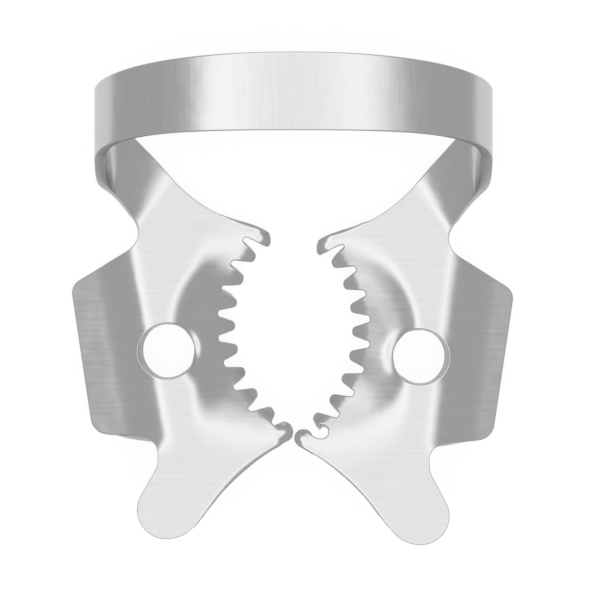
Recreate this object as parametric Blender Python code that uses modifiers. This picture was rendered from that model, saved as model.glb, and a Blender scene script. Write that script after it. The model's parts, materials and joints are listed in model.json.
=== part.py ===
# Rubber dam clamp: one strip of spring steel, stamped and formed.
#
# The sheet is drawn as its middle surface. Each jaw plate is a flat outline with
# its forceps hole, teeth, wing and tab, and its height is a formula of its place
# in the plan: the wing, the dish behind the teeth and the teeth themselves each
# turn down past a bend line. The bow is a loft between its two long edges, which
# leaves each plate at a straight bend, curls up and arches over. A Solidify
# modifier gives the sheet its thickness, thinner along the rounded edges.
#
# Plan axes: X across the clamp with the midline at 0, Y from the tabs towards the
# bow with the hole centres at 0, Z out of the plate towards the bow. The whole
# clamp is then tipped about X until it rests on a flat surface by its own weight.

import math

import bmesh
import bpy
import numpy as np
from mathutils import Matrix, Vector, geometry

MM = 0.001

# Sheet
SHEET_THICKNESS = 0.70 * MM
EDGE_ROUNDING = 0.20 * MM
EDGE_THICKNESS = 0.36 * MM

# Forceps hole, one in each jaw plate
HOLE_REACH = 8.20 * MM
HOLE_RADIUS = 1.72 * MM

# Teeth, evenly along an arc from the first root, at the bow's end, to the last one, at
# the tab's. Tips and roots are blunt, each with two rounded corners that lie a width
# either side of its middle.
TOOTH_COUNT = 8
TOOTH_ARC_RADIUS = 8.57 * MM
TOOTH_ARC_REACH = 5.07 * MM
TOOTH_ARC_Y = 1.76 * MM
FIRST_ROOT_Y = 7.223 * MM
LAST_ROOT_Y = -5.074 * MM
TOOTH_LENGTH = 1.08 * MM
TOOTH_FAN = 0.62
TOOTH_TIP_WIDTH = 0.29 * MM
TOOTH_TIP_RADIUS = 0.34 * MM
TOOTH_ROOT_WIDTH = 0.20 * MM
TOOTH_ROOT_RADIUS = 0.22 * MM

# Notches beside the end prongs. The one beside the tab prong is only the last tooth root
# on the left jaw. On the right jaw it is round, with a small spike at its mouth, and the
# places of both are taken from that root.
BOW_NOTCH_DEPTH = 1.06 * MM
BOW_NOTCH_RADIUS = 0.37 * MM
ROUND_NOTCH_SHIFT = (0.12 * MM, 0.12 * MM)
ROUND_NOTCH_RADIUS = 0.41 * MM
SPIKE_SHIFT = (0.10 * MM, 0.34 * MM)
SPIKE_RADIUS = 0.08 * MM

# Prongs at the two ends of the teeth, with their corners' places along Y taken from the
# last root at the tab and from the first root at the bow
TAB_PRONG_REACH = 0.18 * MM
TAB_PRONG_BELOW = 0.526 * MM
TAB_PRONG_ABOVE = {"left": 0.514 * MM, "right": 0.874 * MM}
TAB_PRONG_RADIUS = 0.48 * MM
BOW_PRONG_REACH = 1.66 * MM
BOW_PRONG_BELOW = 0.343 * MM
BOW_PRONG_WIDTH = 0.96 * MM
BOW_PRONG_OUTER_RADIUS = 0.60 * MM
BOW_PRONG_INNER_RADIUS = 0.22 * MM

# Edge of the plate between the bow prong and the bow, with its rise from the prong
SHOULDER_X = 6.01 * MM
SHOULDER_RISE = 1.35 * MM
SHOULDER_RADIUS = 10.2 * MM

# Wing at the outer side of each plate
NECK_X = 9.19 * MM
NECK_Y = 7.44 * MM
NECK_RADIUS = 1.42 * MM
WING_REACH = 14.46 * MM
WING_TOP_Y = 4.28 * MM
WING_TOP_RADIUS = 0.96 * MM
WING_TAPER = 1.43 * MM
WING_BOTTOM_Y = -5.32 * MM
WING_BOTTOM_RADIUS = 1.15 * MM

# Tab that runs on past the teeth
TAB_ROOT_X = 8.83 * MM
TAB_ROOT_Y = -5.90 * MM
TAB_ROOT_RADIUS = 0.80 * MM
TAB_WAIST_Y = -7.44 * MM
TAB_WAIST_RADIUS = 1.60 * MM
TAB_END_Y = -12.23 * MM
TAB_SPLAY = 2.71 * MM
TAB_OUTER_RADIUS = 1.92 * MM
TAB_END_X = 7.06 * MM
TAB_INNER_RADIUS = 2.40 * MM
TAB_CROTCH_X = 3.57 * MM
TAB_CROTCH_BELOW = 2.666 * MM
TAB_CROTCH_RADIUS = 13.8 * MM

# Slopes of the formed zones, as drop for each unit of reach, and half the width
# over which each bend turns
WING_SLOPE = 0.50
WING_EASE = {"left": 0.20, "right": 0.165}
WING_EASE_START = {"left": 2.00 * MM, "right": 2.40 * MM}
WING_EASE_TURN = 0.50 * MM
WING_BEND = 0.66 * MM
WING_BEND_X = {"left": 9.64 * MM, "right": 9.82 * MM}
WING_BEND_Y = 2.00 * MM
WING_BEND_LEAN = {"left": 0.180, "right": 0.119}
WING_FADE_START = -5.50 * MM
WING_FADE_END = -6.90 * MM
WING_NECK_START = 7.00 * MM
WING_NECK_END = 8.40 * MM
TOOTH_SLOPE = 0.70
TOOTH_BEND = 0.15 * MM
TOOTH_BEND_LEAD = 0.42 * MM
TOOTH_BEND_FADE = 0.03

# The dish behind the teeth, with its values beside the hole, then at its end towards
# the bow, then at its end towards the tab. It eases off further in.
DISH_X = 2.16 * MM
DISH_Y = 1.50 * MM
DISH_SLOPE = {"left": (0.55, 0.24, 0.42), "right": (0.36, 0.33, 0.37)}
DISH_RADIUS = {
    "left": (5.80 * MM, 6.55 * MM, 7.20 * MM),
    "right": (6.08 * MM, 6.30 * MM, 7.70 * MM),
}
DISH_BEND = {
    "left": (0.55 * MM, 1.00 * MM, 2.10 * MM),
    "right": (0.35 * MM, 0.80 * MM, 1.40 * MM),
}
DISH_EASE = {"left": 0.03, "right": 0.075}
DISH_EASE_START = 1.00 * MM
DISH_END_START = {"left": 0.40, "right": 0.20}
DISH_END_FULL = 0.90

# Bend line where the bow leaves a plate, from its tab side to its far side, with the
# slope of the bow past it, half the width of its turn at those two sides, and how far
# before the line the turn is centred there. The turn fades in from a row of the plan,
# over a short way.
BEND_INNER = (10.56 * MM, 8.74 * MM)
BEND_OUTER = (8.86 * MM, 12.27 * MM)
LEG_SLOPE = math.tan(math.radians(33.0))
LEG_INNER_TURN = 0.80 * MM
LEG_OUTER_TURN = 2.20 * MM
LEG_INNER_LEAD = 0.33 * MM
LEG_OUTER_LEAD = 0.15 * MM
LEG_FROM_Y = 6.50 * MM
LEG_FADE = 0.80 * MM

# Long edges of the bow: the inner one faces the teeth, the outer one faces away
BOW_REACH = 12.45 * MM
BOW_CROWN_PULL = 8.00 * MM
INNER_FLANK_Y = 12.45 * MM
INNER_FLANK_Z = 4.70 * MM
INNER_CROWN_Y = 14.27 * MM
INNER_CROWN_Z = 10.05 * MM
INNER_LEAN = 0.89
INNER_FLANK_PULL = 0.35
INNER_CURL_TURN = math.radians(57.0)
INNER_CURL_PULL = 2.95 * MM
INNER_CURL_RISE = 2.85 * MM
OUTER_FLANK_Y = 16.95 * MM
OUTER_FLANK_Z = 4.60 * MM
OUTER_CROWN_Y = 19.24 * MM
OUTER_CROWN_Z = 9.97 * MM
OUTER_LEAN = 0.636
OUTER_FLANK_PULL = 0.35
OUTER_CURL_TURN = math.radians(47.2)
OUTER_CURL_PULL = 2.00 * MM
OUTER_CURL_RISE = 2.00 * MM

# How far the left jaw sits nearer the bow than the right one
JAW_OFFSET = 0.38 * MM

# Worked out from the sizes above: the centre of the tooth arc, the angles of its first and
# last root, the step between two roots, and the line past which the teeth turn down
TOOTH_ARC_X = TOOTH_ARC_REACH - TOOTH_ARC_RADIUS
FIRST_ROOT_ANGLE = math.asin((FIRST_ROOT_Y - TOOTH_ARC_Y) / TOOTH_ARC_RADIUS)
LAST_ROOT_ANGLE = math.asin((LAST_ROOT_Y - TOOTH_ARC_Y) / TOOTH_ARC_RADIUS)
TOOTH_STEP = (FIRST_ROOT_ANGLE - LAST_ROOT_ANGLE) / TOOTH_COUNT
TOOTH_BEND_RADIUS = TOOTH_ARC_RADIUS - TOOTH_BEND_LEAD

# Fineness of the mesh, with the gaps between its inner points as shares of a cell
CELL = 0.66 * MM
ARC_STEP = math.radians(30.0)
HOLE_SIDES = 16
LATTICE_GAP = 0.66
BEND_GAP = 0.42
RING_GAP = 0.80
TOOTH_BEND_STEP = 0.60
DISH_BEND_STEP = 0.80
WING_BEND_STEP = 0.90
LEG_ROWS = (-0.1, 0.45, 1.0)
RIM_COLUMN = 1.30
BOW_COLUMNS = 8
CURL_ROWS = 13
ARCH_ROWS = 15
WELD = 0.002 * MM


def corner_reaches(corners):
    """How far each corner's rounding runs along its arms, shortened where two would meet."""
    reaches = [0.0] * len(corners)
    places = [Vector(corner[:2]) for corner in corners]
    for i in range(1, len(corners) - 1):
        opening = (places[i - 1] - places[i]).angle(places[i + 1] - places[i])
        reaches[i] = corners[i][2] / math.tan(opening / 2)
    shares = [1.0] * len(corners)
    for i in range(len(corners) - 1):
        wanted = reaches[i] + reaches[i + 1]
        share = (places[i + 1] - places[i]).length / max(wanted, 1e-9)
        shares[i] = min(shares[i], share)
        shares[i + 1] = min(shares[i + 1], share)
    return [reach * share for reach, share in zip(reaches, shares)]


def rounded_path(corners, step, longest):
    """Points along an open run of corners (x, y, radius), with its corners rounded."""
    path = [Vector(corners[0][:2])]
    reaches = corner_reaches(corners)
    for i in range(1, len(corners) - 1):
        tip = Vector(corners[i][:2])
        arm_in = Vector(corners[i - 1][:2]) - tip
        arm_out = Vector(corners[i + 1][:2]) - tip
        opening = arm_in.angle(arm_out)
        radius = reaches[i] * math.tan(opening / 2)
        bisector = (arm_in.normalized() + arm_out.normalized()).normalized()
        centre = tip + bisector * (radius / math.sin(opening / 2))
        start = tip + arm_in.normalized() * reaches[i] - centre
        end = tip + arm_out.normalized() * reaches[i] - centre
        turn = -start.angle_signed(end)
        pieces = max(2, math.ceil(abs(turn) / step), math.ceil(abs(turn) * radius / longest))
        for k in range(pieces + 1):
            spoke = start.copy()
            spoke.rotate(Matrix.Rotation(turn * k / pieces, 2))
            path.append(centre + spoke)
    path.append(Vector(corners[-1][:2]))
    return split_path(path, longest)


def split_path(path, longest):
    """The same path with no straight run longer than longest."""
    out = [path[0]]
    for a, b in zip(path, path[1:]):
        length = (b - a).length
        if length < WELD:
            continue
        pieces = max(1, math.ceil(length / longest - 1e-6))
        out += [a.lerp(b, i / pieces) for i in range(1, pieces + 1)]
    return out


def on_tooth_arc(radius, angle):
    """A point at an angle above the X axis on an arc about the tooth centre."""
    return Vector((TOOTH_ARC_X + radius * math.cos(angle), TOOTH_ARC_Y + radius * math.sin(angle)))


def round_notch_corners():
    """The right jaw's round notch, from its mouth at the tab prong to its spike."""
    root = on_tooth_arc(TOOTH_ARC_RADIUS, LAST_ROOT_ANGLE)
    x, y = root + Vector(ROUND_NOTCH_SHIFT)
    r = ROUND_NOTCH_RADIUS
    return [
        (x - r, y - r, r),
        (x + r, y - r, r),
        (x + r, y + r, r),
        (*(root + Vector(SPIKE_SHIFT)), SPIKE_RADIUS),
    ]


def tooth_corners(side):
    """Roots and tips of the teeth, from the tab end to the bow end."""
    corners = []
    roots = [LAST_ROOT_ANGLE + i * TOOTH_STEP for i in range(TOOTH_COUNT + 1)]
    spread = TOOTH_ROOT_WIDTH / TOOTH_ARC_RADIUS
    for i, angle in enumerate(roots):
        if i == 0 and side == "right":
            corners += round_notch_corners()
        elif i == 0:
            corners.append((*on_tooth_arc(TOOTH_ARC_RADIUS, angle), TOOTH_ROOT_RADIUS))
        else:
            corners.append((*on_tooth_arc(TOOTH_ARC_RADIUS, angle - spread), TOOTH_ROOT_RADIUS))
        if i == TOOTH_COUNT:
            corners.append((*on_tooth_arc(TOOTH_ARC_RADIUS + BOW_NOTCH_DEPTH, angle), BOW_NOTCH_RADIUS))
            break
        if i > 0:
            corners.append((*on_tooth_arc(TOOTH_ARC_RADIUS, angle + spread), TOOTH_ROOT_RADIUS))
        corners += tip_corners(angle + TOOTH_STEP / 2)
    return corners


def tip_corners(middle):
    """The two corners of one tooth's tip, for the angle of the tooth's middle."""
    aim = middle * TOOTH_FAN
    tip = on_tooth_arc(TOOTH_ARC_RADIUS, middle) - Vector((math.cos(aim), math.sin(aim))) * TOOTH_LENGTH
    across = Vector((-math.sin(aim), math.cos(aim))) * TOOTH_TIP_WIDTH
    return [(*(tip - across), TOOTH_TIP_RADIUS), (*(tip + across), TOOTH_TIP_RADIUS)]


def jaw_corners(side):
    """Corners of one plate, from the inner end of its bend line to the outer end."""
    bow_prong_inner_y = FIRST_ROOT_Y - BOW_PRONG_BELOW
    bow_prong_outer_y = bow_prong_inner_y + BOW_PRONG_WIDTH
    corners = [
        (*BEND_INNER, 0.0),
        (NECK_X, NECK_Y, NECK_RADIUS),
        (WING_REACH, WING_TOP_Y, WING_TOP_RADIUS),
        (WING_REACH - WING_TAPER, WING_BOTTOM_Y, WING_BOTTOM_RADIUS),
        (TAB_ROOT_X, TAB_ROOT_Y, TAB_ROOT_RADIUS),
        (TAB_ROOT_X, TAB_WAIST_Y, TAB_WAIST_RADIUS),
        (TAB_ROOT_X + TAB_SPLAY, TAB_END_Y, TAB_OUTER_RADIUS),
        (TAB_END_X, TAB_END_Y, TAB_INNER_RADIUS),
        (TAB_CROTCH_X, LAST_ROOT_Y - TAB_CROTCH_BELOW, TAB_CROTCH_RADIUS),
        (TAB_PRONG_REACH, LAST_ROOT_Y - TAB_PRONG_BELOW, TAB_PRONG_RADIUS),
        (TAB_PRONG_REACH, LAST_ROOT_Y + TAB_PRONG_ABOVE[side], TAB_PRONG_RADIUS),
    ]
    corners += tooth_corners(side)
    corners += [
        (BOW_PRONG_REACH, bow_prong_inner_y, BOW_PRONG_INNER_RADIUS),
        (BOW_PRONG_REACH, bow_prong_outer_y, BOW_PRONG_OUTER_RADIUS),
        (SHOULDER_X, bow_prong_outer_y + SHOULDER_RISE, SHOULDER_RADIUS),
        (*BEND_OUTER, 0.0),
    ]
    return corners


def jaw_shift(side):
    """How far one jaw sits from the middle, along Y."""
    return JAW_OFFSET / 2 * (1 if side == "left" else -1)


def ramp(u, half):
    """0 well before u = 0, u well after it, and a smooth turn of width 2 * half."""
    return np.where(u <= -half, 0.0, np.where(u >= half, u, (u + half) ** 2 / (4 * half)))


def fade_over(value, start, end):
    """1 at the start, 0 at the end and smooth between."""
    share = np.clip((value - end) / (start - end), 0, 1)
    return share * share * (3 - 2 * share)


def past_bend(x, y):
    """How far a plan point lies beyond the straight bend where the bow leaves the plate."""
    along = (Vector(BEND_OUTER) - Vector(BEND_INNER)).normalized()
    return (x - BEND_INNER[0]) * along.y - (y - BEND_INNER[1]) * along.x


def bend_round(x, y):
    """Height that rounds the bend of the bow, more widely towards its far side."""
    past = past_bend(x, y)
    near = np.clip((y - LEG_FROM_Y) / LEG_FADE, 0, 1)
    outer = np.clip((y - BEND_INNER[1]) / (BEND_OUTER[1] - BEND_INNER[1]), 0, 1)
    turn = LEG_INNER_TURN + (LEG_OUTER_TURN - LEG_INNER_TURN) * outer
    lead = LEG_INNER_LEAD + (LEG_OUTER_LEAD - LEG_INNER_LEAD) * outer
    return near * LEG_SLOPE * (ramp(past + lead, turn) - np.maximum(past, 0))


def wing_depth(x, y, side):
    """Drop of the wing past its bend."""
    lean = WING_BEND_LEAN[side]
    past = ((x - WING_BEND_X[side]) - (y - WING_BEND_Y) * lean) / math.hypot(1, lean)
    depth = WING_SLOPE * ramp(past, WING_BEND)
    depth -= WING_EASE[side] * ramp(past - WING_EASE_START[side], WING_EASE_TURN)
    return depth * fade_over(y, WING_FADE_START, WING_FADE_END) * fade_over(y, WING_NECK_START, WING_NECK_END)


def dish_depth(x, y, side):
    """Drop of the dish behind the teeth."""
    off_y = y - DISH_Y
    reach = np.hypot(x - DISH_X, off_y) + WELD
    end = 1 - fade_over((off_y / reach) ** 2, DISH_END_START[side], DISH_END_FULL)
    slope, radius, turn = (
        np.where(off_y > 0, mid + (bow_end - mid) * end, mid + (tab_end - mid) * end)
        for mid, bow_end, tab_end in (DISH_SLOPE[side], DISH_RADIUS[side], DISH_BEND[side])
    )
    past = radius - reach
    return slope * ramp(past, turn) - DISH_EASE[side] * ramp(past - DISH_EASE_START, turn)


def tooth_depth(x, y):
    """Drop of the teeth past the line of their roots."""
    angle = np.arctan2(y - TOOTH_ARC_Y, x - TOOTH_ARC_X)
    window = fade_over(angle, FIRST_ROOT_ANGLE, FIRST_ROOT_ANGLE + TOOTH_BEND_FADE)
    window = window * fade_over(angle, LAST_ROOT_ANGLE, LAST_ROOT_ANGLE - TOOTH_BEND_FADE)
    past = TOOTH_BEND_RADIUS - np.hypot(x - TOOTH_ARC_X, y - TOOTH_ARC_Y)
    return window * TOOTH_SLOPE * ramp(past, TOOTH_BEND)


def plate_height(x, y, side):
    """Height of the formed plate over its plan, in half-plan coordinates."""
    # Past the line of the tooth roots the dish goes no deeper and the teeth fall away evenly.
    stretch = np.maximum(TOOTH_BEND_RADIUS / (np.hypot(x - TOOTH_ARC_X, y - TOOTH_ARC_Y) + WELD), 1.0)
    dish_x = TOOTH_ARC_X + (x - TOOTH_ARC_X) * stretch
    dish_y = TOOTH_ARC_Y + (y - TOOTH_ARC_Y) * stretch
    drop = wing_depth(x, y, side) + dish_depth(dish_x, dish_y, side) + tooth_depth(x, y)
    return bend_round(x, y) - drop


def bend_stops():
    """Fractions along the bend line where the bow's columns start."""
    length = (Vector(BEND_OUTER) - Vector(BEND_INNER)).length
    rim = EDGE_ROUNDING * RIM_COLUMN / length
    inner = np.linspace(rim, 1 - rim, BOW_COLUMNS - 1)
    return [0.0, *inner, 1.0]


class PointField:
    """Plan points kept at least a given gap apart, the first come kept."""

    def __init__(self, size):
        self.size = size
        self.points = []
        self.grid = {}

    def add(self, point, gap):
        """Keep the point unless one within the gap is there already."""
        cx, cy = int(point[0] // self.size), int(point[1] // self.size)
        reach = int(math.ceil(gap / self.size))
        for i in range(cx - reach, cx + reach + 1):
            for j in range(cy - reach, cy + reach + 1):
                for other in self.grid.get((i, j), ()):
                    if math.dist(point, other) < gap:
                        return
        self.grid.setdefault((cx, cy), []).append(tuple(point))
        self.points.append(tuple(point))


def inside(points, loop):
    """Which of the points lie inside the closed loop."""
    result = np.zeros(len(points), bool)
    x, y = points[:, 0], points[:, 1]
    for (x0, y0), (x1, y1) in zip(loop, np.roll(loop, -1, axis=0)):
        crosses = (y0 > y) != (y1 > y)
        with np.errstate(divide="ignore", invalid="ignore"):
            at = x0 + (y - y0) * (x1 - x0) / (y1 - y0)
        result ^= crosses & (x < at)
    return result


def offset_points(path, distance, closed):
    """Points beside the path, at a distance to its left."""
    points = []
    count = len(path)
    for i in range(count):
        before = path[i - 1] if (closed or i > 0) else path[i]
        after = path[(i + 1) % count] if (closed or i < count - 1) else path[i]
        along = (after - before).normalized()
        points.append(path[i] + Vector((-along.y, along.x)) * distance)
    return points


def plate_mesh(bm, side, mirror):
    """Mesh one plate into bm: triangles over its plan, lifted to the formed height."""
    outline = rounded_path(jaw_corners(side), ARC_STEP, CELL)
    start, end = Vector(BEND_OUTER), Vector(BEND_INNER)
    bend = [start.lerp(end, 1 - stop) for stop in bend_stops()[::-1]]
    outer = outline + bend[1:-1]
    turns = [2 * math.pi * i / HOLE_SIDES for i in range(HOLE_SIDES)]
    hole = [Vector((HOLE_REACH + HOLE_RADIUS * math.cos(t), HOLE_RADIUS * math.sin(t))) for t in turns]

    outer_loop = np.array([tuple(p) for p in outer])
    hole_loop = np.array([tuple(p) for p in hole])
    edges = [(i, (i + 1) % len(outer)) for i in range(len(outer))]
    edges += [(len(outer) + i, len(outer) + (i + 1) % len(hole)) for i in range(len(hole))]

    field = PointField(CELL / 2)
    for point in outer + hole:
        field.add(point, 0.0)
    border = len(field.points)
    ring = offset_points(outline, -EDGE_ROUNDING, False) + offset_points(hole, -EDGE_ROUNDING, True)
    for point in ring:
        field.add(point, EDGE_ROUNDING * RING_GAP)
    for point in bend_rows(side):
        field.add(point, CELL * BEND_GAP)
    low, high = outer_loop.min(axis=0), outer_loop.max(axis=0)
    row_gap = CELL * math.sqrt(3) / 2
    for j in range(int((high[1] - low[1]) / row_gap) + 1):
        for i in range(int((high[0] - low[0]) / CELL) + 1):
            point = (low[0] + (i + 0.5 * (j % 2)) * CELL, low[1] + j * row_gap)
            field.add(point, CELL * LATTICE_GAP)

    points = np.array(field.points)
    kept = inside(points, outer_loop) & ~inside(points, hole_loop)
    kept[:border] = True
    points = [Vector(p) for p in points[kept]]
    found = geometry.delaunay_2d_cdt(points, edges, [], 0, 1e-9)
    places = np.array([tuple(p) for p in found[0]])
    faces = np.array([f for f in found[2]])
    centres = places[faces].mean(axis=1)
    faces = faces[inside(centres, outer_loop) & ~inside(centres, hole_loop)]

    heights = plate_height(places[:, 0], places[:, 1], side)
    shift = jaw_shift(side)
    verts = [bm.verts.new((mirror * x, y + shift, z)) for (x, y), z in zip(places, heights)]
    for face in faces:
        order = face if mirror > 0 else face[::-1]
        bm.faces.new([verts[i] for i in order])


def across_bend(half):
    """Where the rows of points lie across a bend of a given half width."""
    return np.linspace(-half, half, 4)


def bend_rows(side):
    """Plan points along both sides of each bend, where the surface turns."""
    points = []
    for across in (-TOOTH_BEND, TOOTH_BEND):
        radius = TOOTH_BEND_RADIUS - across
        count = int(math.pi * radius / (CELL * TOOTH_BEND_STEP))
        points += [on_tooth_arc(radius, -math.pi / 2 + math.pi * i / count) for i in range(count + 1)]
    for across in across_bend(DISH_BEND[side][0]):
        radius = DISH_RADIUS[side][0] - across
        count = int(math.pi * radius / (CELL * DISH_BEND_STEP))
        for i in range(count + 1):
            angle = -math.pi / 2 + math.pi * i / count
            points.append((DISH_X + radius * math.cos(angle), DISH_Y + radius * math.sin(angle)))
    for across in across_bend(WING_BEND):
        step = CELL * WING_BEND_STEP
        for i in range(int((NECK_Y - WING_FADE_END) / step) + 1):
            y = WING_FADE_END + i * step
            points.append((WING_BEND_X[side] + across + (y - WING_BEND_Y) * WING_BEND_LEAN[side], y))
    start, end = Vector(BEND_INNER), Vector(BEND_OUTER)
    away = (start - end).normalized()
    away = Vector((away.y, -away.x))
    for share in LEG_ROWS:
        inner = start + away * (LEG_INNER_LEAD + LEG_INNER_TURN * share)
        outer = end + away * (LEG_OUTER_LEAD + LEG_OUTER_TURN * share)
        count = int((outer - inner).length / CELL)
        points += [inner.lerp(outer, i / count) for i in range(count + 1)]
    return points


def bezier(a, b, c, d, t):
    """A point on a cubic curve with ends a and d and handles b and c."""
    s = 1 - t
    return a * s ** 3 + b * (3 * s * s * t) + c * (3 * s * t * t) + d * t ** 3


def bow_edge(foot, curl, flank, lean, flank_pull, crown):
    """Points of one long edge of the bow, from a plate's bend to the crown."""
    turn, pull, rise = curl
    upright = Vector((0.0, lean, 1.0))
    way = Vector((math.cos(turn), math.sin(turn), 0.0))
    way.z = LEG_SLOPE * (past_bend(foot.x + way.x, foot.y + way.y) - past_bend(foot.x, foot.y))
    low_handle = foot + way * pull
    under = flank - upright * rise
    over = flank + upright * ((crown.z - flank.z) * flank_pull)
    crown_handle = crown + Vector((BOW_CROWN_PULL, 0.0, 0.0))
    lower = [bezier(foot, low_handle, under, flank, i / CURL_ROWS) for i in range(CURL_ROWS)]
    upper = [bezier(flank, over, crown_handle, crown, i / ARCH_ROWS) for i in range(ARCH_ROWS + 1)]
    return lower + upper


def bow_mesh(bm, side, mirror):
    """Mesh one half of the bow into bm, from a plate's bend line to the crown."""
    shift = jaw_shift(side)
    inner = bow_edge(Vector((BEND_INNER[0], BEND_INNER[1] + shift, 0.0)),
                     (INNER_CURL_TURN, INNER_CURL_PULL, INNER_CURL_RISE),
                     Vector((BOW_REACH, INNER_FLANK_Y, INNER_FLANK_Z)), INNER_LEAN, INNER_FLANK_PULL,
                     Vector((0.0, INNER_CROWN_Y, INNER_CROWN_Z)))
    outer = bow_edge(Vector((BEND_OUTER[0], BEND_OUTER[1] + shift, 0.0)),
                     (OUTER_CURL_TURN, OUTER_CURL_PULL, OUTER_CURL_RISE),
                     Vector((BOW_REACH, OUTER_FLANK_Y, OUTER_FLANK_Z)), OUTER_LEAN, OUTER_FLANK_PULL,
                     Vector((0.0, OUTER_CROWN_Y, OUTER_CROWN_Z)))
    stops = bend_stops()
    rows = []
    for k, (a, b) in enumerate(zip(inner, outer)):
        places = [a.lerp(b, stop) for stop in stops]
        if k < CURL_ROWS:
            for p in places:
                p.z += float(bend_round(p.x, p.y - shift)) * (1 - (k / CURL_ROWS) ** 2)
        rows.append([bm.verts.new((mirror * p.x, p.y, p.z)) for p in places])
    for low, high in zip(rows, rows[1:]):
        for i in range(len(stops) - 1):
            quad = [low[i], high[i], high[i + 1], low[i + 1]]
            bm.faces.new(quad if mirror > 0 else quad[::-1])


def edge_weights(bm):
    """Share of the full thickness at each vertex: less within the edge rounding."""
    rims = [e for e in bm.edges if e.is_boundary]
    starts = np.array([tuple(e.verts[0].co) for e in rims])
    spans = np.array([tuple(e.verts[1].co) for e in rims]) - starts
    lengths = (spans ** 2).sum(axis=1)
    least = EDGE_THICKNESS / SHEET_THICKNESS
    weights = []
    for vert in bm.verts:
        offset = np.array(vert.co) - starts
        t = np.clip((offset * spans).sum(axis=1) / lengths, 0, 1)
        gap = np.sqrt(((offset - spans * t[:, None]) ** 2).sum(axis=1).min())
        depth = min(gap / EDGE_ROUNDING, 1.0)
        weights.append(least + (1 - least) * math.sqrt(1 - (1 - depth) ** 2))
    return weights


def sheet_object(collection):
    """The clamp as an open middle surface with a Solidify modifier."""
    bm = bmesh.new()
    for side, mirror in (("left", -1), ("right", 1)):
        plate_mesh(bm, side, mirror)
        bow_mesh(bm, side, mirror)
    bmesh.ops.remove_doubles(bm, verts=bm.verts, dist=WELD)
    bmesh.ops.recalc_face_normals(bm, faces=bm.faces)
    bm.verts.ensure_lookup_table()
    weights = edge_weights(bm)
    mesh = bpy.data.meshes.new("clamp")
    bm.to_mesh(mesh)
    bm.free()
    clamp = bpy.data.objects.new("clamp", mesh)
    collection.objects.link(clamp)
    group = clamp.vertex_groups.new(name="thickness")
    for index, weight in enumerate(weights):
        group.add([index], weight, "REPLACE")
    solid = clamp.modifiers.new("sheet", "SOLIDIFY")
    solid.thickness = SHEET_THICKNESS
    solid.offset = 0.0
    solid.use_even_offset = True
    solid.use_quality_normals = True
    solid.vertex_group = group.name
    return clamp


def lower_hull(points):
    """Lower side of the convex hull of plane points, in order of their first value."""
    hull = []
    for p in sorted(map(tuple, points)):
        while len(hull) > 1:
            (ax, ay), (bx, by) = hull[-2], hull[-1]
            if (bx - ax) * (p[1] - ay) - (by - ay) * (p[0] - ax) > 0:
                break
            hull.pop()
        hull.append(p)
    return hull


def rest_tilt(places, triangles):
    """Angle about X at which the clamp rests on the two contacts either side of its weight."""
    a, b, c = (places[triangles[:, i]] for i in range(3))
    volumes = np.einsum("ij,ij->i", a, np.cross(b, c))
    centre = ((a + b + c) * volumes[:, None]).sum(axis=0) / (4 * volumes.sum())
    hull = lower_hull(places[:, 1:])
    for (y0, z0), (y1, z1) in zip(hull, hull[1:]):
        length = math.hypot(y1 - y0, z1 - z0)
        along = ((centre[1] - y0) * (y1 - y0) + (centre[2] - z0) * (z1 - z0)) / length
        if 0 < along < length:
            return -math.atan2(z1 - z0, y1 - y0)
    return 0.0


def set_at_rest(clamp):
    """Tip the clamp to its resting attitude, with its box's bottom centre at the origin."""
    bpy.context.view_layer.update()
    solid = clamp.evaluated_get(bpy.context.evaluated_depsgraph_get())
    mesh = solid.to_mesh()
    mesh.calc_loop_triangles()
    places = np.empty(len(mesh.vertices) * 3)
    mesh.vertices.foreach_get("co", places)
    places = places.reshape(-1, 3)
    triangles = np.array([tuple(t.vertices) for t in mesh.loop_triangles])
    solid.to_mesh_clear()
    tilt = rest_tilt(places, triangles)
    turned_y = places[:, 1] * math.cos(tilt) - places[:, 2] * math.sin(tilt)
    turned_z = places[:, 1] * math.sin(tilt) + places[:, 2] * math.cos(tilt)
    clamp.rotation_euler.x = tilt
    clamp.location = (-(places[:, 0].min() + places[:, 0].max()) / 2,
                      -(turned_y.min() + turned_y.max()) / 2,
                      -turned_z.min())
    print("rest tilt, degrees:", round(math.degrees(tilt), 3), "location:", tuple(clamp.location))


def steel_material():
    """Satin spring steel."""
    material = bpy.data.materials.new("satin_steel")
    material.use_nodes = True
    shader = material.node_tree.nodes["Principled BSDF"]
    shader.inputs["Base Color"].default_value = (0.68, 0.68, 0.68, 1.0)
    shader.inputs["Metallic"].default_value = 1.0
    shader.inputs["Roughness"].default_value = 0.34
    return material


def main():
    """Build the clamp in a scene cleared of its objects."""
    for old in list(bpy.data.objects):
        bpy.data.objects.remove(old, do_unlink=True)
    collection = bpy.data.collections.new("rubber_dam_clamp")
    bpy.context.scene.collection.children.link(collection)
    clamp = sheet_object(collection)
    clamp.data.materials.append(steel_material())
    clamp.data.shade_smooth()
    set_at_rest(clamp)


main()
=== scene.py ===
import json
import math

import bmesh
import bpy
import numpy as np
from mathutils import Matrix, Vector, geometry


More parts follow.
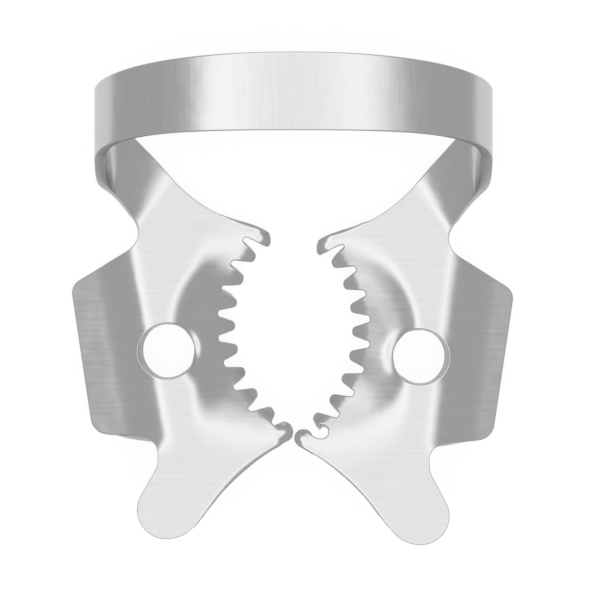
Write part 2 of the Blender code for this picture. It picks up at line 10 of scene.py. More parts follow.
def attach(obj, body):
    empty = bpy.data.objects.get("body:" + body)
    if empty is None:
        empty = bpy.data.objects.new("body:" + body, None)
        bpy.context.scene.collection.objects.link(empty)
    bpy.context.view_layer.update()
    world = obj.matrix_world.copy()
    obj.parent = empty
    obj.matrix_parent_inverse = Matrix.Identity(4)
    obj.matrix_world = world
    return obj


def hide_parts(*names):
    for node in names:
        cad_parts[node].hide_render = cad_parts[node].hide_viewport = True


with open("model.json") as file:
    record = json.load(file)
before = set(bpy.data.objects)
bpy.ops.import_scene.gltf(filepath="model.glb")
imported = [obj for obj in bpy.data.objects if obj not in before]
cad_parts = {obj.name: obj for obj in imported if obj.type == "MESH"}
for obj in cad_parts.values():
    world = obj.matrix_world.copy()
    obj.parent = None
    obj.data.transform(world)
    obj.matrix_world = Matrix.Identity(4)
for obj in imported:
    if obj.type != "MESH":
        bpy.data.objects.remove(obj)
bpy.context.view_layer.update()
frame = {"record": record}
mm = 0.001

# Where the sheet lies: its plate plane is tipped about X as it rests, and the record's
# left_tab mount is a point under the left tab with the plate's downward normal.
place = {
    "mountAcross": -7.9, "mountAlong": -9.41, "mountBelow": -0.35,   # that point in plate axes, mm
}
mount = next(m for m in frame["record"]["mounts"] if m["name"] == "left_tab")
tilt = -math.atan2(-mount["axis"][1], -mount["axis"][2])
plateTurn = Matrix.Rotation(tilt, 4, "X")
mountPoint = Vector((place["mountAcross"], place["mountAlong"], place["mountBelow"])) * mm
plateToWorld = Matrix.Translation(Vector(mount["pos_m"]) - plateTurn @ mountPoint) @ plateTurn
print("plate tilt, degrees:", round(math.degrees(tilt), 3))

# The sheet, in millimetres: its thickness, the rounding of its rim, and how finely it is drawn
sheet = {
    "thickness": 0.70, "edgeRounding": 0.07, "edgeThickness": 0.60,
    "rings": (0.012, 0.035, 0.065, 0.10, 0.17, 0.26, 0.36, 0.48),  # rows of points inside the rim
    "cell": 0.26, "rimStep": 0.03, "arcStep": math.radians(9), "holeSides": 72,
    "ringGap": 0.80, "cellGap": 0.62,                # least gaps, as shares of ring and cell
    "bowColumns": 22, "curlRows": 30, "archRows": 60,
    "weld": 0.002,                                   # points this near each other become one
}

# One jaw plate, seen as the right one: x from the midline, y from the hole towards the bow
jaw = {
    "holeX": 8.20, "holeRadius": 1.72,
    "neck": (9.19, 7.44, 1.42),
    "wingTop": (14.46, 4.28, 0.96), "wingBottom": (13.03, -5.32, 1.15),
    "tabRoot": (8.83, -5.90, 0.80), "tabWaist": (8.83, -7.44, 1.60),
    "tabOuter": (11.54, -12.23, 1.92), "tabInner": (7.06, -12.23, 2.40),
    "crotch": (3.70, -7.66, 13.8),
    "tabProngOuter": (0.18, -5.60, 0.48),
    "tabProngInner": {"left": (0.18, -4.56, 0.48), "right": (0.18, -4.20, 0.48)},
    "bowProngInner": (1.66, 6.88, 0.22), "bowProngOuter": (1.66, 7.84, 0.60),
    "shoulder": (6.01, 9.19, 10.2),
    "bendInner": (10.56, 8.74), "bendOuter": (8.86, 12.27),
    "offset": 0.38,                               # the left jaw sits this much nearer the bow
    "bowEndDrop": {"left": 0.08, "right": 0.20},  # the bow prong and shoulder sit this much lower
    "wingTrim": {"left": 0.0, "right": 0.15},     # and the wing and tab reach this much less far
}

# The serrated edge: teeth on an arc, counted from the bow end, and the notches at its two ends
teeth = {
    "count": 8, "pitch": math.radians(11.56), "firstRoot": math.radians(39.6),
    "arcRadius": 8.57, "arcX": -3.50, "arcY": 1.76,
    "length": 1.08, "fan": 0.62,                     # fan: how far the teeth turn with the arc
    "tipWidth": 0.29, "tipRadius": 0.34, "rootWidth": 0.20, "rootRadius": 0.22,
    "endFade": 0.03,                                 # angle in which the teeth's slope ends
    "bowNotchDepth": 1.12, "bowNotchRadius": 0.50,
    # the right jaw's notch with the spike beside it, whose root is this far off and this round
    "roundNotch": (1.82, -4.93, 0.44), "spike": (1.72, -4.72, 0.06), "spikeRoot": (0.05, 0.20),
}

# Bends of the plate: slopes as drop for each unit of reach, and half the width of each turn
bends = {
    "wingSlope": 0.50, "wingTurn": 0.66,
    "wingEase": {"left": 0.20, "right": 0.165}, "wingEaseTurn": 0.50,
    "wingEaseStart": {"left": 2.00, "right": 2.40},
    "wingX": {"left": 9.64, "right": 9.82}, "wingLean": {"left": 0.180, "right": 0.119},
    "wingY": 2.00, "fadeStart": -5.50, "fadeEnd": -6.90, "neckStart": 7.00, "neckEnd": 8.40,
    "toothSlope": 0.70, "toothTurn": 0.15, "toothRadius": 8.15,
    "legSlope": math.tan(math.radians(33)), "legTurn": (0.80, 2.20), "legLead": (0.33, 0.15),
    "legFrom": 6.5, "legFade": 0.8,
}

# Rims that are worked further. Those of the prongs and of the tab's inner side are rolled under,
# over the widths here. A roll has run out at its End and is full a Fade further on, in x, or in
# y for tabSide. A Line, given as (x, y) on it and its rise, parts outer side from inner side.
rims = {
    "rollSlope": 0.75, "rollTurn": 0.13, "least": 0.01,
    "bowTip": 0.47, "bowTipEnd": 2.30, "bowTipFade": 0.50,
    "bowSide": 0.15, "bowSideEnd": 4.80, "bowSideFade": 1.50,
    "bowLine": (1.66, 7.44, 0.31), "bowInnerEnd": 2.20, "bowFrom": 6.40,
    "tabTip": {"left": 0.49, "right": 0.35}, "tabTipFade": 0.55,
    "tabOuterEnd": {"left": 1.15, "right": 0.80}, "tabInnerEnd": {"left": 1.28, "right": 1.10},
    "tabSide": {"left": 0.15, "right": 0.07}, "tabSideEnd": -11.6, "tabSideFade": 4.00,
    "tabLines": ((0.18, -5.15, -0.631), (3.57, -7.29, -1.287)), "tabReach": 1.40,
    "tabFrom": -4.50, "tabTo": 7.60,
    # the hole's rim is drawn under where it faces the teeth, and its upper edge is spread
    "collarWidth": {"left": 0.50, "right": 0.62}, "collarSlope": 0.26, "collarFacing": (0.4, 0.9),
    "lip": 0.10, "lipReach": 0.60,
}

# The dish behind the teeth: its slope, reach and turn beside the hole, then towards the bow,
# then towards the tab. Past easeStart it is flatter by ease.
dish = {
    "x": 2.16, "y": 1.50, "easeStart": 1.00, "endFull": 0.90,
    "left": {"slope": (0.55, 0.24, 0.40), "radius": (5.80, 6.60, 7.20), "turn": (0.55, 1.30, 2.30),
             "ease": 0.03, "endStart": 0.40},
    "right": {"slope": (0.385, 0.33, 0.335), "radius": (6.08, 6.30, 7.80), "turn": (0.35, 0.90, 1.80),
              "ease": 0.075, "endStart": 0.12},
}

# Long edges of the bow: the inner one faces the teeth, the outer one faces away
bow = {
    "reach": 12.45, "crownPull": 8.00,
    "inner": {"flank": (12.45, 4.70), "crown": (14.27, 10.05), "lean": 0.89, "flankPull": 0.35,
              "curlTurn": math.radians(57.0), "curlPull": 2.95, "curlRise": 2.85},
    "outer": {"flank": (16.95, 4.60), "crown": (19.24, 9.97), "lean": 0.636, "flankPull": 0.35,
              "curlTurn": math.radians(47.2), "curlPull": 2.00, "curlRise": 2.00},
    "grainFrom": 40.0, "grainWidth": 5.0,            # keeps its grinding lines off the plates'
}


def cornerReaches(corners):
    # how far each corner's rounding runs along its arms, shared out where two would meet
    reaches = [0.0] * len(corners)
    spots = [Vector(corner[:2]) for corner in corners]
    for i in range(1, len(corners) - 1):
        opening = (spots[i - 1] - spots[i]).angle(spots[i + 1] - spots[i])
        reaches[i] = corners[i][2] / math.tan(opening / 2)
    shares = [1.0] * len(corners)
    for i in range(len(corners) - 1):
        share = (spots[i + 1] - spots[i]).length / max(reaches[i] + reaches[i + 1], 1e-9)
        shares[i] = min(shares[i], share)
        shares[i + 1] = min(shares[i + 1], share)
    return [reach * share for reach, share in zip(reaches, shares)]


def roundedPath(corners, step, longest):
    # points along an open run of corners (x, y, radius), with its corners rounded
    path = [Vector(corners[0][:2])]
    reaches = cornerReaches(corners)
    for i in range(1, len(corners) - 1):
        tip = Vector(corners[i][:2])
        armIn = (Vector(corners[i - 1][:2]) - tip).normalized()
        armOut = (Vector(corners[i + 1][:2]) - tip).normalized()
        opening = armIn.angle(armOut)
        radius = reaches[i] * math.tan(opening / 2)
        centre = tip + (armIn + armOut).normalized() * (radius / math.sin(opening / 2))
        start = tip + armIn * reaches[i] - centre
        end = tip + armOut * reaches[i] - centre
        turn = -start.angle_signed(end)
        pieces = max(2, math.ceil(abs(turn) / step), math.ceil(abs(turn) * radius / longest))
        for k in range(pieces + 1):
            spoke = start.copy()
            spoke.rotate(Matrix.Rotation(turn * k / pieces, 2))
            path.append(centre + spoke)
    path.append(Vector(corners[-1][:2]))
    out = [path[0]]
    for a, b in zip(path, path[1:]):
        length = (b - a).length
        if length > 1e-4:
            pieces = max(1, math.ceil(length / longest - 1e-6))
            out += [a.lerp(b, i / pieces) for i in range(1, pieces + 1)]
    return out


def onToothArc(radius, angle):
    x = teeth["arcX"] + radius * math.cos(angle)
    y = teeth["arcY"] + radius * math.sin(angle)
    return Vector((x, y))


def toothCorners(side):
    # roots and tips from the tab end to the bow end
    corners = []
    arc, half = teeth["arcRadius"], teeth["rootWidth"]
    for i in range(teeth["count"] + 1):
        angle = teeth["firstRoot"] - (teeth["count"] - i) * teeth["pitch"]
        spread = half / arc
        if i == 0 and side == "right":
            x, y, r = teeth["roundNotch"]
            corners += [(x - r, y - r, 2 * r), (x + r, y - r, r), (x + r, y + r, r)]
            rootShift, rootRadius = teeth["spikeRoot"]
            corners += [(teeth["spike"][0] + rootShift, y + r, rootRadius), teeth["spike"]]
        elif i == teeth["count"]:
            corners.append((*onToothArc(arc, angle - spread), teeth["rootRadius"]))
            notch = (*onToothArc(arc + teeth["bowNotchDepth"], angle), teeth["bowNotchRadius"])
            corners.append(moved(notch, 0, -jaw["bowEndDrop"][side]))
        elif i == 0:
            corners.append((*onToothArc(arc, angle), teeth["rootRadius"]))
        else:
            corners.append((*onToothArc(arc, angle - spread), teeth["rootRadius"]))
            corners.append((*onToothArc(arc, angle + spread), teeth["rootRadius"]))
        if i < teeth["count"]:
            middle = angle + teeth["pitch"] / 2
            aim = middle * teeth["fan"]
            tip = onToothArc(arc, middle) - Vector((math.cos(aim), math.sin(aim))) * teeth["length"]
            across = Vector((-math.sin(aim), math.cos(aim))) * teeth["tipWidth"]
            corners.append((*(tip - across), teeth["tipRadius"]))
            corners.append((*(tip + across), teeth["tipRadius"]))
    return corners


def moved(corner, x, y):
    return (corner[0] + x, corner[1] + y, corner[2])


def jawCorners(side):
    trim, drop = jaw["wingTrim"][side], jaw["bowEndDrop"][side]
    corners = [(*jaw["bendInner"], 0.0), jaw["neck"]]
    corners += [moved(jaw["wingTop"], -trim, 0), moved(jaw["wingBottom"], -trim, 0)]
    corners += [jaw["tabRoot"], jaw["tabWaist"], moved(jaw["tabOuter"], -trim, 0), jaw["tabInner"]]
    corners += [jaw["crotch"], jaw["tabProngOuter"], jaw["tabProngInner"][side]]
    corners += toothCorners(side)
    bowEnd = (jaw["bowProngInner"], jaw["bowProngOuter"], jaw["shoulder"])
    corners += [moved(corner, 0, -drop) for corner in bowEnd]
    corners.append((*jaw["bendOuter"], 0.0))
    return corners


def jawShift(side):
    return jaw["offset"] / 2 * (1 if side == "left" else -1)


def ramp(u, half):
    # 0 well before u = 0, u well after it, and a smooth turn between
    return np.where(u <= -half, 0.0, np.where(u >= half, u, (u + half) ** 2 / (4 * half)))


def pastBend(x, y):
    # how far a plan point lies beyond the straight bend where the bow leaves the plate
    start, end = Vector(jaw["bendInner"]), Vector(jaw["bendOuter"])
    along = (end - start).normalized()
    return (x - start.x) * along.y - (y - start.y) * along.x


def fadeOver(value, start, end):
    # 1 at start, 0 at end, smooth between
    share = np.clip((value - end) / (start - end), 0, 1)
    return share * share * (3 - 2 * share)


def bendRound(x, y):
    # rounds the sharp bend at the foot of the bow, more widely towards its outer edge
    past = pastBend(x, y)
    near = np.clip((y - bends["legFrom"]) / bends["legFade"], 0, 1)
    outer = np.clip((y - jaw["bendInner"][1]) / (jaw["bendOuter"][1] - jaw["bendInner"][1]), 0, 1)
    turn, lead = (a + (b - a) * outer for a, b in (bends["legTurn"], bends["legLead"]))
    return near * bends["legSlope"] * (ramp(past + lead, turn) - np.maximum(past, 0))


def plateHeight(x, y, side):
    b = bends
    lean = b["wingLean"][side]
    pastWing = ((x - b["wingX"][side]) - (y - b["wingY"]) * lean) / math.hypot(1, lean)
    wing = b["wingSlope"] * ramp(pastWing, b["wingTurn"])
    wing = wing - b["wingEase"][side] * ramp(pastWing - b["wingEaseStart"][side], b["wingEaseTurn"])
    wing = wing * fadeOver(y, b["fadeStart"], b["fadeEnd"]) * fadeOver(y, b["neckStart"], b["neckEnd"])
    # past the line of the tooth roots the dish goes no deeper, and the teeth fall away evenly
    fromArc = np.hypot(x - teeth["arcX"], y - teeth["arcY"]) + 1e-9
    stretch = np.maximum(b["toothRadius"] / fromArc, 1.0)
    dishX = teeth["arcX"] + (x - teeth["arcX"]) * stretch
    dishY = teeth["arcY"] + (y - teeth["arcY"]) * stretch
    angle = np.arctan2(y - teeth["arcY"], x - teeth["arcX"])
    first, fade = teeth["firstRoot"], teeth["endFade"]
    last = first - teeth["count"] * teeth["pitch"]
    window = fadeOver(angle, first, first + fade) * fadeOver(angle, last, last - fade)
    tooth = b["toothSlope"] * ramp(b["toothRadius"] - fromArc, b["toothTurn"]) * window
    return bendRound(x, y) - (wing + dishDepth(dishX, dishY, side) + tooth)


def dishDepth(x, y, side):
    shape = dish[side]
    offY = y - dish["y"]
    fromDish = np.hypot(x - dish["x"], offY) + 1e-9
    end = 1 - fadeOver((offY / fromDish) ** 2, shape["endStart"], dish["endFull"])
    slope, radius, turn = (np.where(offY > 0, mid + (bowEnd - mid) * end, mid + (tabEnd - mid) * end)
                           for mid, bowEnd, tabEnd in (shape["slope"], shape["radius"], shape["turn"]))
    inDish = radius - fromDish
    depth = slope * ramp(inDish, turn) - shape["ease"] * ramp(inDish - dish["easeStart"], turn)
    # the rim of the hole, drawn under on the side where the dish falls away from it
    fromHole = np.hypot(x - jaw["holeX"], y) + 1e-9
    toDish = Vector((dish["x"] - jaw["holeX"], dish["y"])).normalized()
    facing = ((x - jaw["holeX"]) * toDish.x + y * toDish.y) / fromHole
    toTeeth = 1 - fadeOver(facing, *rims["collarFacing"])
    width = rims["collarWidth"][side]
    within = np.clip(jaw["holeRadius"] + width - fromHole, 0, width)
    return depth + toTeeth * (slope + rims["collarSlope"]) * within ** 2 / (2 * width)


def lineAt(x, line):
    return line[1] + (x - line[0]) * line[2]


def rollWidth(x, y, side):
    # how wide the rim is rolled under at each point of the outline
    r = rims
    bowOutside = y > lineAt(x, r["bowLine"])
    bowProng = (bowOutside | (x < r["bowInnerEnd"])) & (y > r["bowFrom"]) & (x < r["bowSideEnd"])
    sideWidth = r["bowSide"] * np.clip((r["bowSideEnd"] - x) / r["bowSideFade"], 0, 1)
    tipWidth = r["bowTip"] * np.clip((r["bowTipEnd"] - x) / r["bowTipFade"], 0, 1)
    bowWidth = np.maximum(sideWidth * bowOutside, tipWidth)
    upper, lower = r["tabLines"]
    tabOutside = y < np.where(x < lower[0], lineAt(x, upper), lineAt(x, lower))
    tabProng = (tabOutside | (x < r["tabReach"])) & (y < r["tabFrom"]) & (x < r["tabTo"])
    sideWidth = r["tabSide"][side] * np.clip((y - r["tabSideEnd"]) / r["tabSideFade"], 0, 1)
    tipEnd = np.where(tabOutside, r["tabOuterEnd"][side], r["tabInnerEnd"][side])
    tipWidth = r["tabTip"][side] * np.clip((tipEnd - x) / r["tabTipFade"], 0, 1)
    tabWidth = np.maximum(sideWidth * tabOutside, tipWidth)
    return np.where(bowProng, bowWidth, np.where(tabProng, tabWidth, 0.0))


def rollDepth(spots, outline, side):
    # how deep the rolled rims draw down the sheet
    path = np.array([tuple(p) for p in outline])
    x, y = path[:, 0], path[:, 1]
    width = rollWidth(x, y, side)
    depth = np.zeros(len(spots))
    for i in np.nonzero(width > rims["least"])[0]:
        away = np.hypot(spots[:, 0] - x[i], spots[:, 1] - y[i])
        depth = np.maximum(depth, rims["rollSlope"] * ramp(width[i] - away, rims["rollTurn"]))
    return depth


class PointField:
    # plan points kept at least a given gap apart, the first come kept
    def __init__(self, size):
        self.size = size
        self.points = []
        self.cells = {}

    def add(self, point, gap):
        cx, cy = int(point[0] // self.size), int(point[1] // self.size)
        reach = math.ceil(gap / self.size)
        for i in range(cx - reach, cx + reach + 1):
            for j in range(cy - reach, cy + reach + 1):
                for other in self.cells.get((i, j), ()):
                    if math.dist(point, other) < gap:
                        return
        self.cells.setdefault((cx, cy), []).append(tuple(point))
        self.points.append(tuple(point))


def isInside(points, loop):
    result = np.zeros(len(points), bool)
    x, y = points[:, 0], points[:, 1]
    for (x0, y0), (x1, y1) in zip(loop, np.roll(loop, -1, axis=0)):
        crosses = (y0 > y) != (y1 > y)
        with np.errstate(divide="ignore", invalid="ignore"):
            at = x0 + (y - y0) * (x1 - x0) / (y1 - y0)
        result ^= crosses & (x < at)
    return result


def besidePath(path, distance, closed):
    points = []
    count = len(path)
    for i in range(count):
        before = path[i - 1] if (closed or i > 0) else path[i]
        after = path[(i + 1) % count] if (closed or i < count - 1) else path[i]
        along = (after - before).normalized()
        points.append(path[i] + Vector((-along.y, along.x)) * distance)
    return points


def bendStops():
    # fractions along the straight bend line where the bow's columns start
    length = (Vector(jaw["bendOuter"]) - Vector(jaw["bendInner"])).length
    rim = [ring / length for ring in sheet["rings"]]
    middle = list(np.linspace(rim[-1], 1 - rim[-1], sheet["bowColumns"]))[1:-1]
    return [0.0, *rim, *middle, *[1 - r for r in reversed(rim)], 1.0]


def addPlate(bm, grain, side, mirror):
    # triangles over the plate's plan, lifted to the formed height
    cell = sheet["cell"]
    outline = roundedPath(jawCorners(side), sheet["arcStep"], cell)
    fineOutline = roundedPath(jawCorners(side), sheet["arcStep"], sheet["rimStep"])
    start, end = Vector(jaw["bendOuter"]), Vector(jaw["bendInner"])
    bendLine = [start.lerp(end, 1 - stop) for stop in bendStops()[::-1]]
    outer = outline + bendLine[1:-1]
    turns = [2 * math.pi * i / sheet["holeSides"] for i in range(sheet["holeSides"])]
    r = jaw["holeRadius"]
    hole = [Vector((jaw["holeX"] + r * math.cos(t), r * math.sin(t))) for t in turns]

    outerLoop = np.array([tuple(p) for p in outer])
    holeLoop = np.array([tuple(p) for p in hole])
    edges = [(i, (i + 1) % len(outer)) for i in range(len(outer))]
    edges += [(len(outer) + i, len(outer) + (i + 1) % len(hole)) for i in range(len(hole))]

    field = PointField(cell / 2)
    for point in outer + hole:
        field.add(point, 0.0)
    border = len(field.points)
    last = 0.0
    for ring in sheet["rings"]:
        for point in besidePath(outline, -ring, False) + besidePath(hole, -ring, True):
            field.add(point, (ring - last) * sheet["ringGap"])
        last = ring
    low, high = outerLoop.min(axis=0), outerLoop.max(axis=0)
    rowGap = cell * math.sqrt(3) / 2
    for j in range(int((high[1] - low[1]) / rowGap) + 1):
        for i in range(int((high[0] - low[0]) / cell) + 1):
            point = (low[0] + (i + 0.5 * (j % 2)) * cell, low[1] + j * rowGap)
            field.add(point, cell * sheet["cellGap"])

    points = np.array(field.points)
    kept = isInside(points, outerLoop) & ~isInside(points, holeLoop)
    kept[:border] = True
    found = geometry.delaunay_2d_cdt([Vector(p) for p in points[kept]], edges, [], 0, 1e-7)
    spots = np.array([tuple(p) for p in found[0]])
    faces = np.array([f for f in found[2]])
    centres = spots[faces].mean(axis=1)
    faces = faces[isInside(centres, outerLoop) & ~isInside(centres, holeLoop)]

    heights = plateHeight(spots[:, 0], spots[:, 1], side) - rollDepth(spots, fineOutline, side)
    shift = jawShift(side)
    verts = [bm.verts.new((mirror * x, y + shift, z)) for (x, y), z in zip(spots, heights)]
    for face in faces:
        order = face if mirror > 0 else face[::-1]
        made = bm.faces.new([verts[i] for i in order])
        for loop, i in zip(made.loops, order):
            loop[grain].uv = (spots[i][1], mirror * spots[i][0])


def bezier(a, b, c, d, t):
    s = 1 - t
    return a * s ** 3 + b * (3 * s * s * t) + c * (3 * s * t * t) + d * t ** 3


def bowEdge(foot, edge):
    # one long edge of the bow, from a plate's bend to the crown
    flank = Vector((bow["reach"], *edge["flank"]))
    crown = Vector((0.0, *edge["crown"]))
    upright = Vector((0.0, edge["lean"], 1.0))
    way = Vector((math.cos(edge["curlTurn"]), math.sin(edge["curlTurn"]), 0.0))
    way.z = bends["legSlope"] * (pastBend(foot.x + way.x, foot.y + way.y) - pastBend(foot.x, foot.y))
    lowHandle = foot + way * edge["curlPull"]
    under = flank - upright * edge["curlRise"]
    over = flank + upright * ((crown.z - flank.z) * edge["flankPull"])
    crownHandle = crown + Vector((bow["crownPull"], 0.0, 0.0))
    curl, arch = sheet["curlRows"], sheet["archRows"]
    lower = [bezier(foot, lowHandle, under, flank, i / curl) for i in range(curl)]
    return lower + [bezier(flank, over, crownHandle, crown, i / arch) for i in range(arch + 1)]


def addBow(bm, grain, side, mirror):
    # one half of the bow, ruled between its two long edges
    shift = jawShift(side)
    inner = bowEdge(Vector((jaw["bendInner"][0], jaw["bendInner"][1] + shift, 0.0)), bow["inner"])
    outer = bowEdge(Vector((jaw["bendOuter"][0], jaw["bendOuter"][1] + shift, 0.0)), bow["outer"])
    stops = bendStops()
    rows, alongs = [], [0.0]
    for k, (a, b) in enumerate(zip(inner, outer)):
        spots = [a.lerp(b, stop) for stop in stops]
        if k < sheet["curlRows"]:
            for p in spots:
                p.z += float(bendRound(p.x, p.y - shift)) * (1 - (k / sheet["curlRows"]) ** 2)
        rows.append([bm.verts.new((mirror * p.x, p.y, p.z)) for p in spots])
    for low, high in zip(rows, rows[1:]):
        middle = len(stops) // 2
        alongs.append(alongs[-1] + (high[middle].co - low[middle].co).length)
    for r in range(len(rows) - 1):
        for i in range(len(stops) - 1):
            quad = [(r, i), (r + 1, i), (r + 1, i + 1), (r, i + 1)]
            if mirror < 0:
                quad.reverse()
            made = bm.faces.new([rows[k][m] for k, m in quad])
            for loop, (k, m) in zip(made.loops, quad):
                across = bow["grainFrom"] + bow["grainWidth"] * stops[m]
                loop[grain].uv = (mirror * (alongs[-1] - alongs[k]), across)


def rimWeights(bm):
    # share of the full thickness at each vertex: less within the rounding of the rim
    rimEdges = [e for e in bm.edges if e.is_boundary]
    starts = np.array([tuple(e.verts[0].co) for e in rimEdges])
    spans = np.array([tuple(e.verts[1].co) for e in rimEdges]) - starts
    lengths = (spans ** 2).sum(axis=1)
    spots = np.array([tuple(v.co) for v in bm.verts])
    least = sheet["edgeThickness"] / sheet["thickness"]
    gaps = []
    for spot in spots:
        offset = spot - starts
        t = np.clip((offset * spans).sum(axis=1) / lengths, 0, 1)
        gaps.append(math.sqrt(((offset - spans * t[:, None]) ** 2).sum(axis=1).min()))
    depth = np.minimum(np.array(gaps) / sheet["edgeRounding"], 1.0)
    return least + (1 - least) * np.sqrt(1 - (1 - depth) ** 2)


def leanHoleWalls(mesh):
    # spreads the upper rim of each hole, so that its wall shows from above
    spots = np.empty(len(mesh.vertices) * 3)
    mesh.vertices.foreach_get("co", spots)
    spots = spots.reshape(-1, 3)
    half = len(spots) // 2
    for start in (0, half):
        layer, other = spots[start:start + half], spots[half - start:2 * half - start]
        for side, mirror in (("left", -1), ("right", 1)):
            offX, offY = layer[:, 0] - mirror * jaw["holeX"], layer[:, 1] - jawShift(side)
            reach = np.hypot(offX, offY) + 1e-9
            near = fadeOver(reach, jaw["holeRadius"], jaw["holeRadius"] + rims["lipReach"])
            spread = rims["lip"] * near * (layer[:, 2] > other[:, 2])
            layer[:, 0] += offX / reach * spread
            layer[:, 1] += offY / reach * spread
    mesh.vertices.foreach_set("co", spots.ravel())
    mesh.update()


def makeClamp():
    bm = bmesh.new()
    grain = bm.loops.layers.uv.new("grain")
    for side, mirror in (("left", -1), ("right", 1)):
        addPlate(bm, grain, side, mirror)
        addBow(bm, grain, side, mirror)
    bmesh.ops.remove_doubles(bm, verts=bm.verts, dist=sheet["weld"])
    bmesh.ops.recalc_face_normals(bm, faces=bm.faces)
    weights = rimWeights(bm)
    rim = [1.0 if v.is_boundary else 0.0 for v in bm.verts]
    mesh = bpy.data.meshes.new("clampSheet")
    bm.to_mesh(mesh)
    bm.free()
    mesh.attributes.new("cutEdge", "FLOAT", "POINT").data.foreach_set("value", rim)
    clamp = bpy.data.objects.new("clampSheet", mesh)
    bpy.context.scene.collection.objects.link(clamp)
    group = clamp.vertex_groups.new(name="thickness")
    for index, weight in enumerate(weights):
        group.add([index], float(weight), "REPLACE")
    bpy.ops.object.select_all(action="DESELECT")
    bpy.context.view_layer.objects.active = clamp
    clamp.select_set(True)
    solid = clamp.modifiers.new("sheet", "SOLIDIFY")
    solid.thickness = sheet["thickness"]
    solid.offset = 0.0
    solid.use_even_offset = True
    solid.use_quality_normals = True
    solid.vertex_group = "thickness"
    bpy.ops.object.modifier_apply(modifier="sheet")
    leanHoleWalls(clamp.data)
    bpy.ops.object.shade_smooth()
    clamp.data.transform(plateToWorld @ Matrix.Scale(mm, 4))
    return clamp


class Value:
    # wraps a socket, so that material maths reads as plain expressions
    def __init__(self, nodes, socket):
        self.nodes = nodes
        self.socket = socket

    def math(self, operation, other, flip=False):
        node = self.nodes.tree.nodes.new("ShaderNodeMath")
        node.operation = operation
        pair = (other, self) if flip else (self, other)
        for slot, item in zip(node.inputs, pair):
            self.nodes.feed(slot, item)
        return Value(self.nodes, node.outputs[0])

    def __add__(self, other):
        return self.math("ADD", other)

    def __radd__(self, other):
        return self.math("ADD", other, True)

    def __sub__(self, other):
        return self.math("SUBTRACT", other)

    def __rsub__(self, other):
        return self.math("SUBTRACT", other, True)

    def __mul__(self, other):
        return self.math("MULTIPLY", other)

    def __rmul__(self, other):
        return self.math("MULTIPLY", other, True)

    def __truediv__(self, other):
        return self.math("DIVIDE", other)

    def __rtruediv__(self, other):
        return self.math("DIVIDE", other, True)

    def atLeast(self, other):
        return self.math("MAXIMUM", other)

    def clamped(self):
        return self.math("MAXIMUM", 0.0).math("MINIMUM", 1.0)


class Nodes:
    def __init__(self, tree):
        self.tree = tree

    def feed(self, slot, item):
        if isinstance(item, Value):
            self.tree.links.new(item.socket, slot)
        else:
            slot.default_value = item

    def add(self, kind, settings=None, inputs=None, output=0):
        node = self.tree.nodes.new(kind)
        for name, value in (settings or {}).items():
            setattr(node, name, value)
        for name, item in (inputs or {}).items():
            self.feed(node.inputs[name], item)
        return Value(self, node.outputs[output])

    def noise(self, spot, scale, detail):
        return self.add("ShaderNodeTexNoise", {}, {"Vector": spot, "Scale": scale, "Detail": detail})

    def mixColour(self, share, first, second):
        # sockets 6 and 7 take the two colours, and output 2 gives the mixed one
        return self.add("ShaderNodeMix", {"data_type": "RGBA"}, {0: share, 6: first, 7: second}, 2)

    def glow(self, strength):
        return self.add("ShaderNodeEmission", {}, {"Color": (1, 1, 1, 1), "Strength": strength})

    def mixShaders(self, share, first, second):
        return self.add("ShaderNodeMixShader", {}, {0: share, 1: first, 2: second})


# Satin steel, with fine grinding lines that follow the sheet, and duller and darker along its cut
# rims: partly the sheared metal, partly painted shade for the dark that the rim walls reflect
steel = {
    "colour": (0.57, 0.57, 0.567, 1.0), "lineColour": (0.55, 0.55, 0.547, 1.0),
    "edgeColourWithPaintedShade": (0.47, 0.47, 0.47, 1.0),
    "roughness": 0.21, "roughnessSpread": 0.12, "edgeRoughness": 0.42,
    "lineScale": 5.0, "lineStretch": 0.05, "lineDepth": 0.0018,      # lines for each mm, and mm deep
    "lineDetail": 3.0, "streakFrom": 0.35, "streakGain": 3.0,
    "mottleScale": 0.55, "mottleDepth": 0.024, "mottleDetail": 1.0,  # a faint waviness
}


def makeSteel():
    material = bpy.data.materials.new("satinSteel")
    material.use_nodes = True
    nodes = Nodes(material.node_tree)
    shader = material.node_tree.nodes["Principled BSDF"]
    shader.inputs["Metallic"].default_value = 1.0
    grain = nodes.add("ShaderNodeUVMap", {"uv_map": "grain"})
    edge = nodes.add("ShaderNodeAttribute", {"attribute_name": "cutEdge"}, {}, "Fac")
    stretch = (1.0, steel["lineStretch"], 1.0)
    stretched = nodes.add("ShaderNodeMapping", {}, {"Vector": grain, "Scale": stretch})
    lines = nodes.noise(stretched, steel["lineScale"], steel["lineDetail"])
    mottle = nodes.noise(grain, steel["mottleScale"], steel["mottleDetail"])
    streak = ((lines - steel["streakFrom"]) * steel["streakGain"]).clamped()
    sheen = nodes.mixColour(streak, steel["lineColour"], steel["colour"])
    # the cut rims take the darker edge colour: partly duller sheared metal, partly painted shade
    nodes.feed(shader.inputs["Base Color"], nodes.mixColour(edge, sheen, steel["edgeColourWithPaintedShade"]))
    rough = steel["roughness"] + (lines - 0.5) * steel["roughnessSpread"]
    rough = rough + edge * (steel["edgeRoughness"] - steel["roughness"])
    nodes.feed(shader.inputs["Roughness"], rough)
    height = lines * steel["lineDepth"] + mottle * steel["mottleDepth"]
    bump = nodes.add("ShaderNodeBump", {}, {"Height": height, "Distance": mm, "Strength": 1.0})
    nodes.feed(shader.inputs["Normal"], bump)
    return material


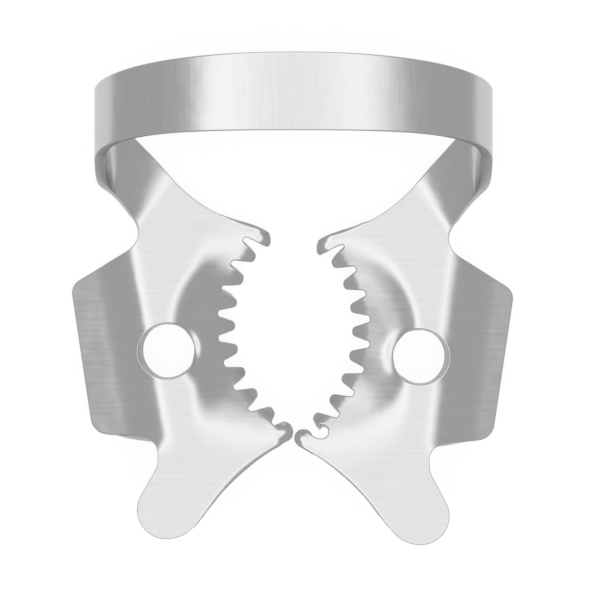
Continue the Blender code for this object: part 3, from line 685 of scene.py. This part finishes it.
# Floor, room and lamp, in metres. The lamp is one round soft disc behind the camera, crisp at
# its left side, fading out elsewhere, and a little dimmer towards its middle.
studio = {
    "floorSize": 20.0, "floorColour": (0.93, 0.93, 0.93, 1.0), "floorRoughness": 0.9,
    "floorGlow": 0.85, "floorStrength": 1.06,
    "floorDrop": 0.00006,                            # keeps the floor clear of the lowest points
    "roomGrey": 0.577,
    "lampDistance": 0.60, "lampRadius": 0.373, "lampGlow": 1.76, "lampSides": 64,
    "lampEdge": 0.05, "lampFade": 0.27, "lampCore": 0.24, "lampCoreDim": 0.24,
}

# The camera looks straight at the plate, from above the place (acrossX, alongY) on it, which is
# in millimetres. Its distance is in metres.
camera = {
    "acrossX": 0.415, "alongY": 3.50, "mmPerPixel": 0.065, "pixels": 600,
    "distance": 0.400, "sensor": 36.0, "nearest": 0.01,
}


def makeFloor():
    spot = (0, 0, -studio["floorDrop"])
    bpy.ops.mesh.primitive_plane_add(size=studio["floorSize"], location=spot)
    floor = bpy.context.object
    floor.name = "floor"
    material = bpy.data.materials.new("paleFloor")
    material.use_nodes = True
    nodes = Nodes(material.node_tree)
    shader = material.node_tree.nodes["Principled BSDF"]
    shader.inputs["Base Color"].default_value = studio["floorColour"]
    shader.inputs["Roughness"].default_value = studio["floorRoughness"]
    output = material.node_tree.nodes["Material Output"]
    seen = nodes.add("ShaderNodeLightPath", {}, {}, "Is Camera Ray")
    seen = seen + nodes.add("ShaderNodeLightPath", {}, {}, "Is Glossy Ray")
    seen = seen + nodes.add("ShaderNodeLightPath", {}, {}, "Is Transmission Ray")
    lit = Value(nodes, shader.outputs[0])
    white = nodes.glow(studio["floorStrength"])
    nodes.feed(output.inputs["Surface"], nodes.mixShaders(seen * studio["floorGlow"], lit, white))
    floor.data.materials.append(material)


def makeRoom():
    world = bpy.data.worlds.new("room")
    bpy.context.scene.world = world
    world.use_nodes = True
    background = world.node_tree.nodes["Background"]
    background.inputs["Color"].default_value = (1, 1, 1, 1)
    background.inputs["Strength"].default_value = studio["roomGrey"]


def aimAtPlate(thing, distance):
    # looks straight at the plate, on the camera's line
    spot = Vector((camera["acrossX"] * mm, camera["alongY"] * mm, distance))
    thing.matrix_world = plateToWorld @ Matrix.Translation(spot)


def makeLamp():
    bpy.ops.mesh.primitive_circle_add(
        vertices=studio["lampSides"], radius=studio["lampRadius"] + studio["lampFade"],
        fill_type="NGON")
    lamp = bpy.context.object
    lamp.name = "softLamp"
    aimAtPlate(lamp, studio["lampDistance"])
    material = bpy.data.materials.new("lampCloth")
    material.use_nodes = True
    nodes = Nodes(material.node_tree)
    material.node_tree.nodes.remove(material.node_tree.nodes["Principled BSDF"])
    spot = nodes.add("ShaderNodeTexCoord", {}, {}, "Object")
    across = nodes.add("ShaderNodeSeparateXYZ", {}, {"Vector": spot}, "X")
    reach = nodes.add("ShaderNodeVectorMath", {"operation": "LENGTH"}, {"Vector": spot}, "Value")
    leftward = (0.0 - across / (reach + mm)).atLeast(0.0)
    softness = studio["lampFade"] - leftward * leftward * (studio["lampFade"] - studio["lampEdge"])
    level = (0.5 - (reach - studio["lampRadius"]) / softness).clamped()
    core = (1.0 - reach * reach / studio["lampCore"] ** 2).clamped()
    shine = nodes.glow((1.0 - core * studio["lampCoreDim"]) * studio["lampGlow"])
    clear = nodes.add("ShaderNodeBsdfTransparent")
    output = material.node_tree.nodes["Material Output"]
    nodes.feed(output.inputs["Surface"], nodes.mixShaders(level, clear, shine))
    lamp.data.materials.append(material)
    lamp.visible_camera = False
    lamp.visible_shadow = False


def makeCamera():
    eyeData = bpy.data.cameras.new("camera")
    eyeData.sensor_width = camera["sensor"]
    viewWidth = camera["mmPerPixel"] * mm * camera["pixels"]
    eyeData.lens = camera["sensor"] * camera["distance"] / viewWidth
    eyeData.clip_start = camera["nearest"]
    eye = bpy.data.objects.new("camera", eyeData)
    bpy.context.scene.collection.objects.link(eye)
    aimAtPlate(eye, camera["distance"])
    bpy.context.scene.camera = eye


clampSheet = makeClamp()
clampSheet.data.materials.clear()
clampSheet.data.materials.append(makeSteel())
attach(clampSheet, "root")
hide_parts("clamp")
print("clamp: the formed sheet,", len(clampSheet.data.polygons), "faces")

makeFloor()
makeRoom()
makeLamp()
makeCamera()
bpy.context.scene.view_settings.view_transform = "Standard"
print("studio: floor, room, lamp and camera")
